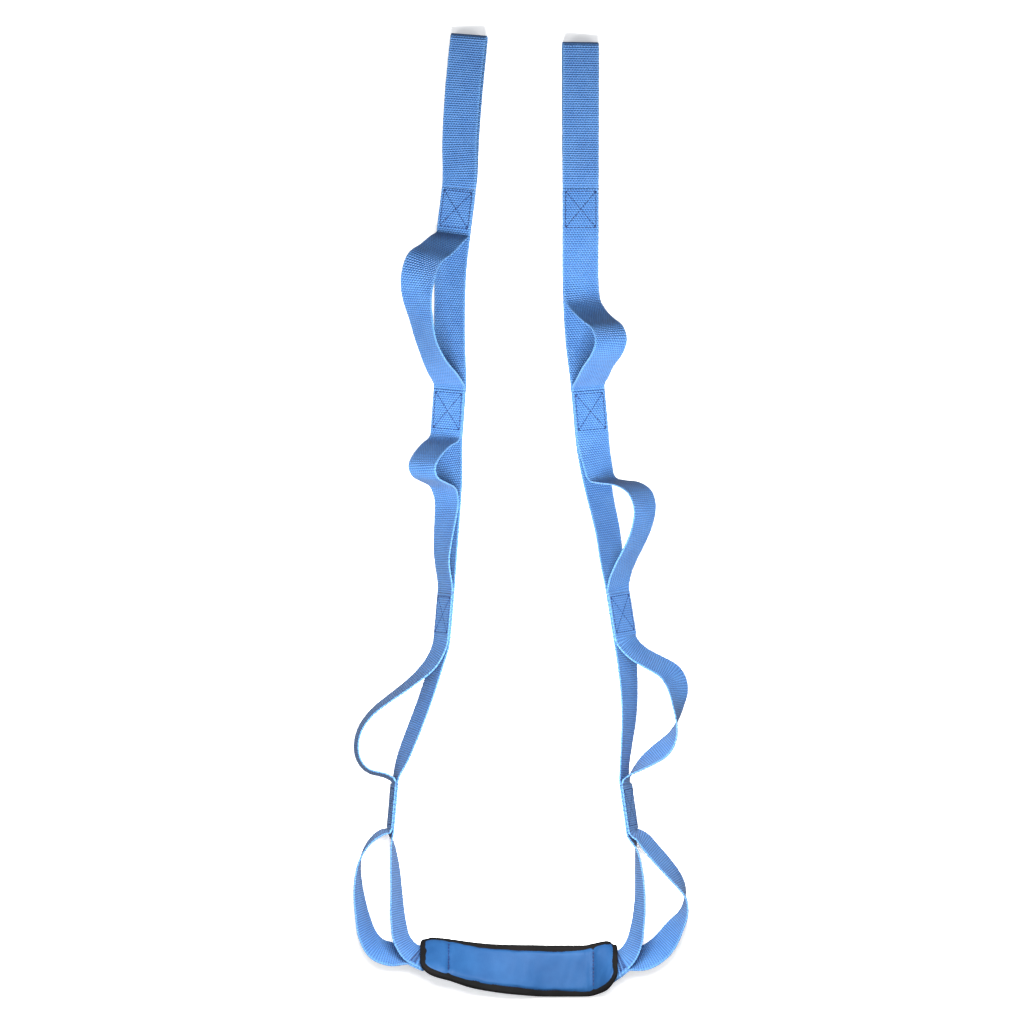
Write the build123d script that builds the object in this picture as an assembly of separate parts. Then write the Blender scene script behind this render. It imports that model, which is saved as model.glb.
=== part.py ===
"""Stretching strap: a padded centre, two arms of flat webbing with four sewn loops each, and a hand loop at each end.

The strap lies on a flat surface in a long U. Millimetres, +Z up, +Y from the pad towards the two hand loops.
The origin is on that surface, at the middle of the short stretch where the pad's webbing lies flat on it.

Each arm is two layers: a base strap, and a slack loop strap on its outer side, joined by four box-X stitches.
Places along the strap are stations: a point of the layer's middle, and the tilt of the webbing there.
At tilt 0 the webbing lies flat with its loop side up, at 90 it stands on edge, at 180 its loop side is down.
"""

import os
from math import cos, radians, sin, sqrt

from build123d import *

# Driving dimensions
WEB_WIDTH = 38.0
WEB_THICKNESS = 1.8
LAYER_GAP = 0.2
BLOCK_LENGTH = 46.0
FOLD_GAP = 2.0
HAND_LOOP_FOLD_RADIUS = 6.0

PAD_WIDTH = 52.0
PAD_CORNER_RADIUS = 13.0
PAD_FLAT_HALF_LENGTH = 20.0
PAD_BACK = 2.9
COVER_THICKNESS = 0.7
FOAM_THICKNESS = 7.0
FOAM_EDGE_THICKNESS = 2.6
FOAM_INSET = 1.2
FOAM_CLEARANCE = 0.3
CROWN_SHARE = 0.62
CROWN_FADE = 20.0
RIM_WIDTH = 7.2
BINDING_THICKNESS = 0.7
BINDING_WIDTH = 6.5
BINDING_STITCH_INSET = 2.0
BINDING_CLEARANCE = 0.45

THREAD = 0.9
THREAD_HEIGHT = 0.4
THREAD_CLEARANCE = 0.05
STITCH_BOX_WIDTH = 32.0
STITCH_BOX_LENGTH = 38.0
BAR_TACK_LENGTH = 30.0
BAR_TACK_WIDTH = 1.6

SECTION_STEP = 9.0
LEAD = 2.0

HALF_WEB = WEB_WIDTH / 2
LAYER_PITCH = WEB_THICKNESS + LAYER_GAP
FOAM_FLOOR = PAD_BACK + COVER_THICKNESS
UP = Vector(0, 0, 1)

# Sewn blocks of each arm, counted from the pad: x, y, z, heading in plan, pitch, tilt
LEFT_BLOCKS = [
    (-181, 173, 20.5, 85, 0, 82),
    (-127, 374, 19.5, 85, 0, 66),
    (-123, 588, 13.5, 86, 2, 30),
    (-114.5, 799, 24, 83, 1, 22),
]
RIGHT_BLOCKS = [
    (65, 172, 20, 98, 0, 74),
    (57, 375, 18.5, 99, 0, 53),
    (24.5, 587, 12.5, 95, 0, 25),
    (15, 799, 23, 90, 2, 6),
]

# Base strap between the blocks: x, y, z, tilt
LEFT_BASE = {
    2: [(-172, 221, 19.5, 72), (-160, 252, 19, 68), (-148, 284, 19, 68), (-137, 318, 19, 68)],
    3: [(-124, 431, 18.5, 61), (-123.5, 460, 17.5, 55), (-123, 515, 15, 42)],
    4: [(-122, 650, 13.5, 31), (-122, 700, 15.5, 32), (-120.5, 746, 20, 27)],
}
RIGHT_BASE = {
    2: [(61, 212, 19.5, 76), (63, 235, 19.3, 73), (66, 268, 18.5, 66), (66, 295, 18, 62), (64, 323, 18, 58)],
    3: [(48, 429, 17, 50), (43.5, 462, 16, 47), (36, 496, 15, 43), (30, 530, 13.5, 34)],
    4: [(18, 655, 9, 18), (15.5, 704, 9.5, 10), (15, 742, 15.5, 7)],
}

# Loop straps, from the pad outwards: x, y, z, tilt
LEFT_LOOPS = {
    1: [
        (-170, 18, 18.5, 124),
        (-184, 18, 16.5, 129),
        (-198, 23, 16.5, 127),
        (-208, 37, 17, 119),
        (-214, 60, 18.5, 111),
        (-218, 90, 19.5, 102),
        (-215, 120, 20, 90),
        (-204, 138, 20, 84),
        (-191, 147, 20, 82),
    ],
    2: [
        (-182, 202, 20, 83),
        (-192, 206.5, 20, 83),
        (-207, 210, 20, 83),
        (-217, 221, 20, 83),
        (-220, 237, 20, 83),
        (-216, 254, 20, 83),
        (-204, 271, 20, 82),
        (-184, 287, 20, 80),
        (-159, 306, 19.5, 76),
        (-141, 324, 19, 69),
    ],
    3: [
        (-130, 431, 22, 66),
        (-129, 452, 20.5, 60),
        (-126.5, 474, 19, 54),
        (-125, 494, 17.5, 48),
        (-128, 506, 22, 44),
        (-138, 513, 38, 44),
        (-149, 520, 51, 43),
        (-151, 529, 53, 41),
        (-146, 540, 46, 40),
        (-137, 551, 32, 37),
    ],
    4: [
        (-127.6, 624, 26, 31),
        (-138, 641, 41, 48),
        (-147, 662, 51, 54),
        (-152, 684, 60, 48),
        (-156, 706, 66, 34),
        (-155, 727, 68, 19),
        (-149, 745, 62, 9),
        (-134, 758, 47, 10),
        (-123, 769, 34, 17),
    ],
}
RIGHT_LOOPS = {
    1: [
        (69, 12.5, 18, 126),
        (81, 13.5, 16.5, 130),
        (92, 19, 16, 131),
        (103, 29, 16, 129),
        (113, 44, 17.5, 120),
        (123, 60, 19.5, 104),
        (125.5, 76, 20, 92),
        (120, 91, 19.5, 76),
        (106, 110, 18.5, 68),
        (92, 126, 18.5, 67),
        (79, 141, 19.5, 70),
    ],
    2: [
        (65.5, 204, 20, 86),
        (75, 213, 19.5, 100),
        (90, 225, 18, 114),
        (103, 235, 18, 116),
        (112, 247, 19, 104),
        (116, 262, 20, 88),
        (117, 280, 19, 70),
        (117, 297, 17.5, 55),
        (112, 310, 16, 52),
        (101, 319, 17, 59),
        (86, 327, 17.5, 61),
        (72.5, 336, 18, 59),
    ],
    3: [
        (56, 412, 25, 54),
        (62, 428, 36, 55),
        (71, 446, 47, 55),
        (79, 466, 56, 54),
        (82, 486, 60, 52),
        (77, 502, 54, 49),
        (64, 511, 41, 46),
        (50, 513, 27, 44),
        (38, 516, 16.5, 42),
        (32.5, 534, 16, 36),
    ],
    4: [
        (27, 621, 25.3, 26),
        (34, 635, 43, 28),
        (43, 648, 57, 28),
        (47, 661, 62, 28),
        (44, 673, 58, 27),
        (33, 683, 44, 24),
        (23, 694, 28, 20),
        (17, 705, 17.5, 13),
        (15.5, 718, 15.5, 9),
        (15, 745, 19.5, 7),
    ],
}

# Hand loops, beyond the last block: x, y, z, tilt of the surface midway between the two layers
LEFT_HAND = [(-110.5, 872, 18.5, 17), (-107, 925, 14.5, 13), (-102, 976, 10.5, 10)]
RIGHT_HAND = [(15, 872, 18.5, 5), (15, 920, 14.5, 5), (15, 968, 10.5, 6)]

# Base strap from the left arm's first block, under the pad, to the right arm's first block.
# Its width direction is taken on the left of the way the stations run.
CENTRE_LEFT = [
    (-182, 134, 20.5, 93),
    (-180, 116, 20.5, 101),
    (-178, 85, 20.5, 107),
    (-176, 53, 19.5, 113),
    (-171, 31, 19.5, 117),
    (-162.5, 20.5, 20.5, 121),
    (-152, 15.5, 22.5, 124),
    (-138, 12, 21.5, 133),
    (-120, 8.5, 19, 138),
    (-98, 4, 15.5, 147),
    (-72, 1, 12, 155),
    (-45, 0, 6.5, 167),
]
CENTRE_RIGHT = [
    (38, 3, 9, 160),
    (50, 7, 17.5, 138),
    (59, 12, 20, 125),
    (67, 21, 19.5, 118),
    (72, 32, 19, 114),
    (75, 47, 19.5, 110),
    (77.5, 78, 20.5, 105),
    (76.5, 103, 20.5, 101),
    (73.5, 128, 20.5, 91),
]
PAD_LEFT_END = -152.0
PAD_RIGHT_END = 53.0
PAD_REACH = 35.0
PAD_END_STEPS = (0.0, FOAM_INSET, 3.0, 5.0, RIM_WIDTH, 9.5, PAD_CORNER_RADIUS)
CROSS_SEAMS = (-123.0, 28.5)

# Where the loop strap's end is sewn under the base strap beside the pad
LOOP_TAIL = {"left": (-147.0, -158.0), "right": (47.0, 59.0)}
BAR_TACKS = {"left": (-154.4, -156.8), "right": (55.4, 57.8)}


def unit(vector):
    return vector.normalized()


def width_direction(along, tilt, turn):
    """The webbing's width direction; turn is +1 where it lies left of the way along, and -1 where it lies right."""
    level = unit(UP.cross(along)) * turn
    square = unit(along.cross(level)) * turn
    return unit(level * cos(radians(tilt)) + square * sin(radians(tilt)))


class Block:
    """A stretch where both layers are sewn flat together."""

    def __init__(self, x, y, z, heading, pitch, tilt, turn):
        flat = Vector(cos(radians(heading)), sin(radians(heading)), 0)
        self.along = unit(flat * cos(radians(pitch)) + UP * sin(radians(pitch)))
        self.across = width_direction(self.along, tilt, turn)
        self.outward = self.across.cross(self.along) * -turn
        self.middle = Vector(x, y, z)

    def at(self, along, across=0.0, outward=0.0):
        return self.middle + self.along * along + self.across * across + self.outward * outward


class Line:
    """A smooth line of layer middles with a width direction at each, through stations (point, across)."""

    def __init__(self, stations, start_along, end_along):
        points = [p for p, _ in stations]
        sides = [w for _, w in stations]
        gaps = [(b - a).length for a, b in zip(points, points[1:])]
        slopes = [(b - a) / g for a, b, g in zip(points, points[1:], gaps)]
        turns = [(b - a) / g for a, b, g in zip(sides, sides[1:], gaps)]
        leads = self.blend(slopes, gaps, start_along, end_along)
        rolls = self.blend(turns, gaps, Vector(0, 0, 0), Vector(0, 0, 0))
        self.samples = [(points[0], sides[0])]
        for i, gap in enumerate(gaps):
            count = max(1, round(gap / SECTION_STEP))
            for k in range(1, count + 1):
                u = k / count
                point = self.hermite(points[i], leads[i], points[i + 1], leads[i + 1], gap, u)
                side = self.hermite(sides[i], rolls[i], sides[i + 1], rolls[i + 1], gap, u)
                self.samples.append((point, side))

    @staticmethod
    def blend(slopes, gaps, first, last):
        inner = []
        for a, b, ga, gb in zip(slopes, slopes[1:], gaps, gaps[1:]):
            inner.append((a * gb + b * ga) / (ga + gb))
        return [first] + inner + [last]

    @staticmethod
    def hermite(a, lead_a, b, lead_b, gap, u):
        shape = 3 * u**2 - 2 * u**3
        bow_a = (u - 2 * u**2 + u**3) * gap
        bow_b = (u**3 - u**2) * gap
        return a * (1 - shape) + b * shape + lead_a * bow_a + lead_b * bow_b


def frames(samples):
    """(middle, along, across, outward) at each sample, square to one another."""
    found = []
    for i, (point, side) in enumerate(samples):
        before = samples[max(i - 1, 0)][0]
        after = samples[min(i + 1, len(samples) - 1)][0]
        along = unit(after - before)
        across = unit(side - along * side.dot(along))
        found.append((point, along, across, along.cross(across)))
    return found


def loft(sections):
    """A closed solid ruled through polygons that all have the same number of corners."""
    here, there = sections[0], sections[1]
    normal = Vector(0, 0, 0)
    for a, b in zip(here, here[1:]):
        normal += (a - here[0]).cross(b - here[0])
    if normal.dot(there[0] - here[0]) < 0:
        sections = [corners[::-1] for corners in sections]
    return Solid.make_loft([Wire.make_polygon(corners, close=True) for corners in sections], ruled=True).solid()


def webbing(spine):
    """A length of webbing along (middle, along, across, outward) rows."""
    sections = []
    for point, _, across, outward in spine:
        half = across * HALF_WEB
        rise = outward * (WEB_THICKNESS / 2)
        sections.append([point - half - rise, point + half - rise, point + half + rise, point - half + rise])
    return loft(sections)


def strip(samples):
    """A length of webbing along the samples."""
    return webbing(frames(samples))


def bar(start, end, normal, width=THREAD, height=THREAD_HEIGHT):
    """A straight thread lying on a flat face with that normal."""
    side = unit((end - start).cross(normal)) * (width / 2)
    foot = [start + side, start - side, start - side + normal * height, start + side + normal * height]
    return loft([foot, [corner + (end - start) for corner in foot]])


def stations(rows, before, after, turn):
    """Stations with the width direction square to the way in plan, from rows of x, y, z, tilt."""
    points = [before] + [Vector(x, y, z) for x, y, z, _ in rows] + [after]
    found = []
    for i, (_, _, _, tilt) in enumerate(rows):
        way = points[i + 2] - points[i]
        found.append((points[i + 1], width_direction(unit(Vector(way.X, way.Y, 0)), tilt, turn)))
    return found


def arm_stations(rows, first, last, turn):
    """Stations whose width direction turns evenly in plan from one block's heading to the next one's."""
    found = []
    for i, (x, y, z, tilt) in enumerate(rows):
        share = (i + 1) / (len(rows) + 1)
        along = first.along * (1 - share) + last.along * share
        found.append((Vector(x, y, z), width_direction(unit(Vector(along.X, along.Y, 0)), tilt, turn)))
    return found


def write(name, *solids):
    export_step(solids[0] if len(solids) == 1 else Compound(list(solids)), f"parts/{name}.step")


def sewn_stretch(block, level):
    """The two ends of one layer's flat stretch in a block."""
    edge = BLOCK_LENGTH / 2
    return [(block.at(along, 0, level), block.across) for along in (-edge, edge)]


def base_span(rows, first, last, turn):
    """Base strap from just past one block to the far end of the next."""
    edge = BLOCK_LENGTH / 2
    start = first.at(edge + FOLD_GAP + LEAD)
    end = last.at(-edge - LEAD)
    middle = stations(rows, start, end, turn)
    line = Line([(start, first.across), *middle, (end, last.across)], first.along, last.along)
    return strip([(first.at(edge + FOLD_GAP), first.across), *line.samples, *sewn_stretch(last, 0.0)])


def loop_span(rows, first, last, turn, follow_path):
    """Loop strap from just past one block, out and back in, to the far end of the next."""
    edge = BLOCK_LENGTH / 2
    start = first.at(edge + FOLD_GAP + LEAD, 0, LAYER_PITCH)
    end = last.at(-edge - LEAD, 0, LAYER_PITCH)
    middle = stations(rows, start, end, turn) if follow_path else arm_stations(rows, first, last, turn)
    line = Line([(start, first.across), *middle, (end, last.across)], first.along, last.along)
    root = (first.at(edge + FOLD_GAP, 0, LAYER_PITCH), first.across)
    return strip([root, *line.samples, *sewn_stretch(last, LAYER_PITCH)])


def hand_loop(rows, block, turn):
    """The end of the base strap, folded back on itself and sewn down as the loop layer's end."""
    edge = BLOCK_LENGTH / 2
    start = block.at(edge + FOLD_GAP, 0, LAYER_PITCH / 2)
    rows_end = Vector(*rows[-1][:3])
    middle = stations(rows, start, rows_end + (rows_end - Vector(*rows[-2][:3])), turn)
    line = Line([(start, block.across), *middle], block.along, unit(middle[-1][0] - middle[-2][0]))
    spine = frames(line.samples)
    if spine[0][3].dot(block.outward) < 0:
        spine = [(point, along, across, -outward) for point, along, across, outward in spine]
    last = len(spine) - 1
    lower = []
    upper = []
    for i, (point, _, across, outward) in enumerate(spine):
        share = i / last
        spread = LAYER_PITCH / 2 + (HAND_LOOP_FOLD_RADIUS - LAYER_PITCH / 2) * (1 - (1 - share) ** 2)
        lower.append((point - outward * spread, across))
        upper.append((point + outward * spread, across))
    point, along, across, outward = spine[-1]
    turns = []
    for angle in range(-72, 73, 18):
        reach = outward * sin(radians(angle)) + along * cos(radians(angle))
        turns.append((point + reach * HAND_LOOP_FOLD_RADIUS, across))
    return strip(lower + turns + upper[::-1])


def box_stitch(block):
    """Thread of one box-X stitch: a frame with its two diagonals, on each face of the stack."""
    half_w = STITCH_BOX_WIDTH / 2
    half_l = STITCH_BOX_LENGTH / 2
    inset = THREAD / 2
    solids = []
    for level, sign in ((LAYER_PITCH + WEB_THICKNESS / 2, 1), (-WEB_THICKNESS / 2, -1)):
        normal = block.outward * sign
        corners = [
            block.at(a * half_l, c * half_w, level)
            for a, c in ((-1, -1), (-1, 1), (1, 1), (1, -1))
        ]
        rows = [(corners[k], corners[(k + 1) % 4]) for k in range(4)]
        rows += [(corners[0], corners[2]), (corners[1], corners[3])]
        threads = []
        for start, end in rows:
            way = unit(end - start) * inset
            threads.append(bar(start - way, end + way, normal))
        whole = threads[0]
        for thread in threads[1:]:
            whole = whole.fuse(thread)
        solids += whole.solids()
    return solids


def centre_line(left_block, right_block):
    """Samples of the base strap from the left arm's first block to the right arm's first block."""
    edge = BLOCK_LENGTH / 2
    level = WEB_THICKNESS / 2
    flat = Vector(0, -1, 0)
    way = Vector(1, 0, 0)
    flat_start = Vector(-PAD_FLAT_HALF_LENGTH, 0, level)
    flat_end = Vector(PAD_FLAT_HALF_LENGTH, 0, level)
    left_foot = left_block.at(-edge - LEAD)
    right_foot = right_block.at(-edge - LEAD)
    left_rows = stations(CENTRE_LEFT, left_foot, flat_start, 1)
    right_rows = stations(CENTRE_RIGHT, flat_end, right_foot, 1)
    left = Line([(left_foot, left_block.across), *left_rows, (flat_start, flat)], -left_block.along, way)
    right = Line([(flat_end, flat), *right_rows, (right_foot, right_block.across)], way, right_block.along)
    flat_lead = Vector(LEAD, 0, 0)
    return [*left.samples, (flat_start + flat_lead, flat), (flat_end - flat_lead, flat), *right.samples]


def first_loop(rows, pad, tail, block, turn):
    """The loop nearest the pad: its end is sewn under the base strap beside the pad."""
    edge = BLOCK_LENGTH / 2
    sewn = pad.tail(*tail)
    start, way, side, _ = sewn[-1]
    end = block.at(-edge - LEAD, 0, LAYER_PITCH)
    middle = stations(rows, start, end, turn)
    line = Line([(start, side), *middle, (end, block.across)], way, block.along)
    free = frames([*line.samples, *sewn_stretch(block, LAYER_PITCH)])
    return webbing(sewn + free[1:])


class Pad:
    """Places on the pad: x along it, across towards its raised edge, height above the webbing's middle."""

    def __init__(self, samples):
        self.frames = [row for row in frames(samples) if abs(row[0].Y) < PAD_REACH]

    def frame(self, x):
        for (p, _, a, n), (q, _, b, m) in zip(self.frames, self.frames[1:]):
            if p.X <= x <= q.X:
                share = (x - p.X) / (q.X - p.X)
                return p * (1 - share) + q * share, a * (1 - share) + b * share, n * (1 - share) + m * share
        raise ValueError(f"{x} is not on the pad")

    def at(self, x, across, height):
        middle, side, outward = self.frame(x)
        return middle + side * across - outward * height

    def tail(self, start, end):
        """Rows of a second layer lying under the strap from start to end, bending where the strap bends."""
        sign = 1 if end > start else -1
        inner = [row[0].X for row in self.frames if 0 < (row[0].X - start) * sign < (end - start) * sign]
        rows = []
        for x in [start, *inner[::sign], end]:
            _, side, outward = self.frame(x)
            rows.append((self.at(x, 0, -LAYER_PITCH), unit(side.cross(outward)) * sign, side, outward * sign))
        return rows

    def straight_stops(self):
        """Where the strap's own sections lie between the pad's rounded ends."""
        low = PAD_LEFT_END + PAD_CORNER_RADIUS
        high = PAD_RIGHT_END - PAD_CORNER_RADIUS
        return [row[0].X for row in self.frames if low < row[0].X < high]

    def stops(self, inset):
        """Places along the pad for its sections, closer together in the rounded ends."""
        steps = [step for step in PAD_END_STEPS if step >= inset]
        left = [PAD_LEFT_END + step for step in steps]
        right = [PAD_RIGHT_END - step for step in reversed(steps)]
        return left + self.straight_stops() + right


def half_width(x, inset):
    """Half of the pad's width at x, a given distance inside its outline."""
    half = PAD_WIDTH / 2 - inset
    radius = PAD_CORNER_RADIUS - inset
    from_end = min(x - PAD_LEFT_END, PAD_RIGHT_END - x) - inset
    if from_end >= radius:
        return half
    return half - radius + sqrt(max(radius**2 - (radius - from_end) ** 2, 0.0))


def crown(x, inset, lift):
    """The foam's upper line across the pad, raised by lift: a flat rim, and a crown that fades at the ends."""
    rim = FOAM_FLOOR + FOAM_EDGE_THICKNESS + lift
    from_end = min(x - PAD_LEFT_END, PAD_RIGHT_END - x) - RIM_WIDTH
    ledge = half_width(x, RIM_WIDTH) if from_end > 0 else half_width(x, FOAM_INSET) * CROWN_SHARE
    rise = min(max(from_end / CROWN_FADE, 0.0), 1.0)
    top = rim + (FOAM_THICKNESS - FOAM_EDGE_THICKNESS) * sin(radians(90 * rise))
    shoulder = ledge * CROWN_SHARE
    half = half_width(x, inset)
    return [(half, rim), (ledge, rim), (shoulder, top), (-shoulder, top), (-ledge, rim), (-half, rim)]


def pad_layer(pad, inset, floor, ceiling):
    """One layer of the pad between two lines across it, each a function of x."""
    sections = []
    for x in pad.stops(inset):
        corners = floor(x) + ceiling(x)[::-1]
        sections.append([pad.at(x, across, height) for across, height in corners])
    return loft(sections)


def level_line(inset, height):
    """A straight line across the pad at one height."""
    return lambda x: [(half_width(x, inset), height), (-half_width(x, inset), height)]


def end_outline(pad, way):
    """The outline round one end (way +1 is the right one), as (x, across, outward x, outward across).

    It starts and stops on the long sides at the middle of the flat stretch.
    """
    half = PAD_WIDTH / 2
    middle = half - PAD_CORNER_RADIUS
    centre = PAD_RIGHT_END - PAD_CORNER_RADIUS if way > 0 else PAD_LEFT_END + PAD_CORNER_RADIUS
    stops = [x for x in pad.straight_stops() if x * way > 0]
    raised = [(x, half, 0.0, 1.0) for x in [0.0, *sorted(stops, key=abs)]]
    for step in range(90, -1, -15):
        out_x, out_v = cos(radians(step)) * way, sin(radians(step))
        raised.append((centre + PAD_CORNER_RADIUS * out_x, middle + PAD_CORNER_RADIUS * out_v, out_x, out_v))
    lower = [(x, -across, out_x, -out_v) for x, across, out_x, out_v in reversed(raised)]
    return raised + lower


def around(pad, section):
    """A section of (inset, height) corners carried round the pad's outline, in two halves."""
    solids = []
    for way in (1, -1):
        sections = []
        for x, across, out_x, out_v in end_outline(pad, way):
            sections.append([pad.at(x - out_x * inset, across - out_v * inset, h) for inset, h in section])
        solids.append(loft(sections))
    return solids


def seam_across(pad, x, width, line):
    """A thread band across the pad or the strap at x, over a line of (across, height) points."""
    sections = []
    for stop in (x - width / 2, x + width / 2):
        foot = [pad.at(stop, across, level + THREAD_CLEARANCE) for across, level in line]
        top = [pad.at(stop, across, level + THREAD_CLEARANCE + THREAD_HEIGHT) for across, level in line]
        sections.append(foot + top[::-1])
    return loft(sections)


def write_pad(pad):
    top = FOAM_FLOOR + FOAM_EDGE_THICKNESS + COVER_THICKNESS
    write("pad_back_cover", pad_layer(pad, 0, level_line(0, PAD_BACK), level_line(0, FOAM_FLOOR)))
    foam_floor = level_line(FOAM_INSET, FOAM_FLOOR + FOAM_CLEARANCE)
    write("pad_foam", pad_layer(pad, FOAM_INSET, foam_floor, lambda x: crown(x, FOAM_INSET, -FOAM_CLEARANCE)))
    write("pad_face_cover", pad_layer(pad, 0, lambda x: crown(x, 0, 0.0), lambda x: crown(x, 0, COVER_THICKNESS)))
    inner_low, inner_high = PAD_BACK - BINDING_CLEARANCE, top + BINDING_CLEARANCE
    low, high = inner_low - BINDING_THICKNESS, inner_high + BINDING_THICKNESS
    wall = -BINDING_CLEARANCE - BINDING_THICKNESS
    outside = [(BINDING_WIDTH, low), (wall, low), (wall, high), (BINDING_WIDTH, high)]
    inside = [(BINDING_WIDTH, inner_high), (-BINDING_CLEARANCE, inner_high)]
    inside += [(-BINDING_CLEARANCE, inner_low), (BINDING_WIDTH, inner_low)]
    write("pad_binding", *around(pad, outside + inside))
    row = BINDING_WIDTH - BINDING_STITCH_INSET
    foot = high + THREAD_CLEARANCE
    thread = [(row, foot), (row, foot + THREAD_HEIGHT), (row + THREAD, foot + THREAD_HEIGHT), (row + THREAD, foot)]
    write("pad_binding_stitch", *around(pad, thread))
    seams = []
    for x in CROSS_SEAMS:
        seams.append(seam_across(pad, x, THREAD, crown(x, 0, COVER_THICKNESS)[1:-1]))
    write("pad_cross_seams", *seams)


def bar_tack(pad, places):
    """Dense zigzag rows that hold the loop strap's end under the base strap, on both faces of the stack."""
    reach = BAR_TACK_LENGTH / 2
    levels = (WEB_THICKNESS / 2, -LAYER_PITCH - WEB_THICKNESS / 2 - THREAD_HEIGHT - 2 * THREAD_CLEARANCE)
    bands = []
    for x in places:
        for level in levels:
            bands.append(seam_across(pad, x, BAR_TACK_WIDTH, [(reach, level), (-reach, level)]))
    return bands


def main():
    os.makedirs("parts", exist_ok=True)
    left = [Block(*row, -1) for row in LEFT_BLOCKS]
    right = [Block(*row, 1) for row in RIGHT_BLOCKS]
    centre = centre_line(left[0], right[0])
    pad = Pad(centre)
    left_top = sewn_stretch(left[0], 0.0)[::-1]
    right_top = sewn_stretch(right[0], 0.0)
    write("base_strap_centre", strip([*left_top, *centre, *right_top]))
    write_pad(pad)
    arms = {
        "left": (-1, left, LEFT_BASE, LEFT_LOOPS, LEFT_HAND),
        "right": (1, right, RIGHT_BASE, RIGHT_LOOPS, RIGHT_HAND),
    }
    for side, (turn, blocks, base_rows, loop_rows, hand_rows) in arms.items():
        write(f"{side}_loop_1", first_loop(loop_rows[1], pad, LOOP_TAIL[side], blocks[0], turn))
        write(f"{side}_bar_tack", *bar_tack(pad, BAR_TACKS[side]))
        for k in (2, 3, 4):
            first, last = blocks[k - 2], blocks[k - 1]
            write(f"{side}_base_strap_{k}", base_span(base_rows[k], first, last, turn))
            write(f"{side}_loop_{k}", loop_span(loop_rows[k], first, last, turn, follow_path=(k == 2)))
        write(f"{side}_hand_loop", hand_loop(hand_rows, blocks[-1], turn))
        for k, block in enumerate(blocks, 1):
            write(f"{side}_box_stitch_{k}", *box_stitch(block))


main()
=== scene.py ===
"""Looks of the stretching strap: blue woven webbing sewn into two arms of slack loops, and a padded centre.

Millimetres in the tables and in the shaping code, as in the CAD part, and metres once a mesh is made.
Places along a strap are stations: a point of the layer's middle, and the tilt of the webbing there.
At tilt 0 the webbing lies flat with its loop side up, and at 90 it stands on edge.
"""

from math import cos, exp, pi, radians, sin, sqrt

import bpy
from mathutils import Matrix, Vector, noise


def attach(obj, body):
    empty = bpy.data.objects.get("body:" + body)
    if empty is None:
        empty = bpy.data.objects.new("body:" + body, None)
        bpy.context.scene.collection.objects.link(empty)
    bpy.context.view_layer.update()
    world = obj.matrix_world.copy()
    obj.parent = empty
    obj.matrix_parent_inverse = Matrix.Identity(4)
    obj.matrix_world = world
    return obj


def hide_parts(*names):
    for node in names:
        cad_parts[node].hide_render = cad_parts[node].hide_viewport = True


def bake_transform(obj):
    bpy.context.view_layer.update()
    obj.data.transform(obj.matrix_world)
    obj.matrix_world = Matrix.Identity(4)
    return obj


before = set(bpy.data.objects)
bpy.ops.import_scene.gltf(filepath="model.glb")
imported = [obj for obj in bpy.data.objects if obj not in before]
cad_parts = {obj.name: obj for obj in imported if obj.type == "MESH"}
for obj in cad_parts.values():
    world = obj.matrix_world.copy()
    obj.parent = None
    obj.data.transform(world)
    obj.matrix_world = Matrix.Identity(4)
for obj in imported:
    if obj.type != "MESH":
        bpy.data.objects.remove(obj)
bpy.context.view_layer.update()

MM = 0.001
UP = Vector((0, 0, 1))

# Webbing
WEB_WIDTH = 38.0
WEB_THICKNESS = 1.8
LAYER_GAP = 0.2
LAYER_PITCH = WEB_THICKNESS + LAYER_GAP
BLOCK_LENGTH = 46.0
EDGE = BLOCK_LENGTH / 2
LEAD = 4.0
STEP = 2.5
FOLD_BLEND = 20.0
HAND_LOOP_FOLD_RADIUS = 6.0

# Pad
PAD_WIDTH = 52.0
PAD_CORNER_RADIUS = 11.0
PAD_FLAT_HALF_LENGTH = 20.0
PAD_REACH = 35.0
PAD_FLOOR = 2.9
PAD_EDGE_TOP = 6.8
PAD_MIDDLE_TOP = 9.7
PAD_SLIMMING = 1.0
PAD_SWELL_CAP = 2.2
PAD_VOXEL = 2.0
PAD_SLICES = 68
PAD_SLICES_ACROSS = 16
PAD_SHOULDER = 7.0
PAD_PRESSURE = 4.0
PAD_STIFFNESS = 12.0
PAD_FRAMES = 20
PAD_HEM = 8.0
PAD_END_MARGIN = 0.3
PAD_SIDE_MARGIN = 0.2
PAD_UNDERSIDE = PAD_FLOOR - 0.6
SEAM_DEPTH = 1.7
SEAM_SPREAD = 2.6
SEAM_LIFT = 1.6
TAPE_THREAD_INSET = 1.8
TAPE_THREAD_LIFT = 1.65
TAPE_SIDE_WIDTH = 7.8
TAPE_END_WIDTH = 12.0

# Thread
STITCH_BOX_WIDTH = 32.0
STITCH_BOX_LENGTH = 38.0
STITCH_PITCH = 3.9
STITCH_LENGTH = 3.3
STITCH_WIDTH = 1.05
STITCH_HEIGHT = 0.42
SEAM_THREAD_WIDTH = 1.7
BAR_TACK_LENGTH = 30.0
BAR_TACK_WIDTH = 2.0
BAR_TACK_PITCH = 1.3

# Sewn blocks of each arm, counted from the pad: x, y, z, heading in plan, pitch, tilt
LEFT_BLOCKS = [
    (-181, 173, 20.5, 85, 0, 82),
    (-127, 374, 19.5, 85, 0, 66),
    (-123, 588, 13.5, 86, 2, 30),
    (-114.5, 799, 24, 83, 1, 22),
]
RIGHT_BLOCKS = [
    (65, 172, 20, 98, 0, 74),
    (57, 375, 18.5, 99, 0, 53),
    (24.5, 587, 12.5, 95, 0, 25),
    (15, 799, 23, 90, 2, 6),
]

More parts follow.
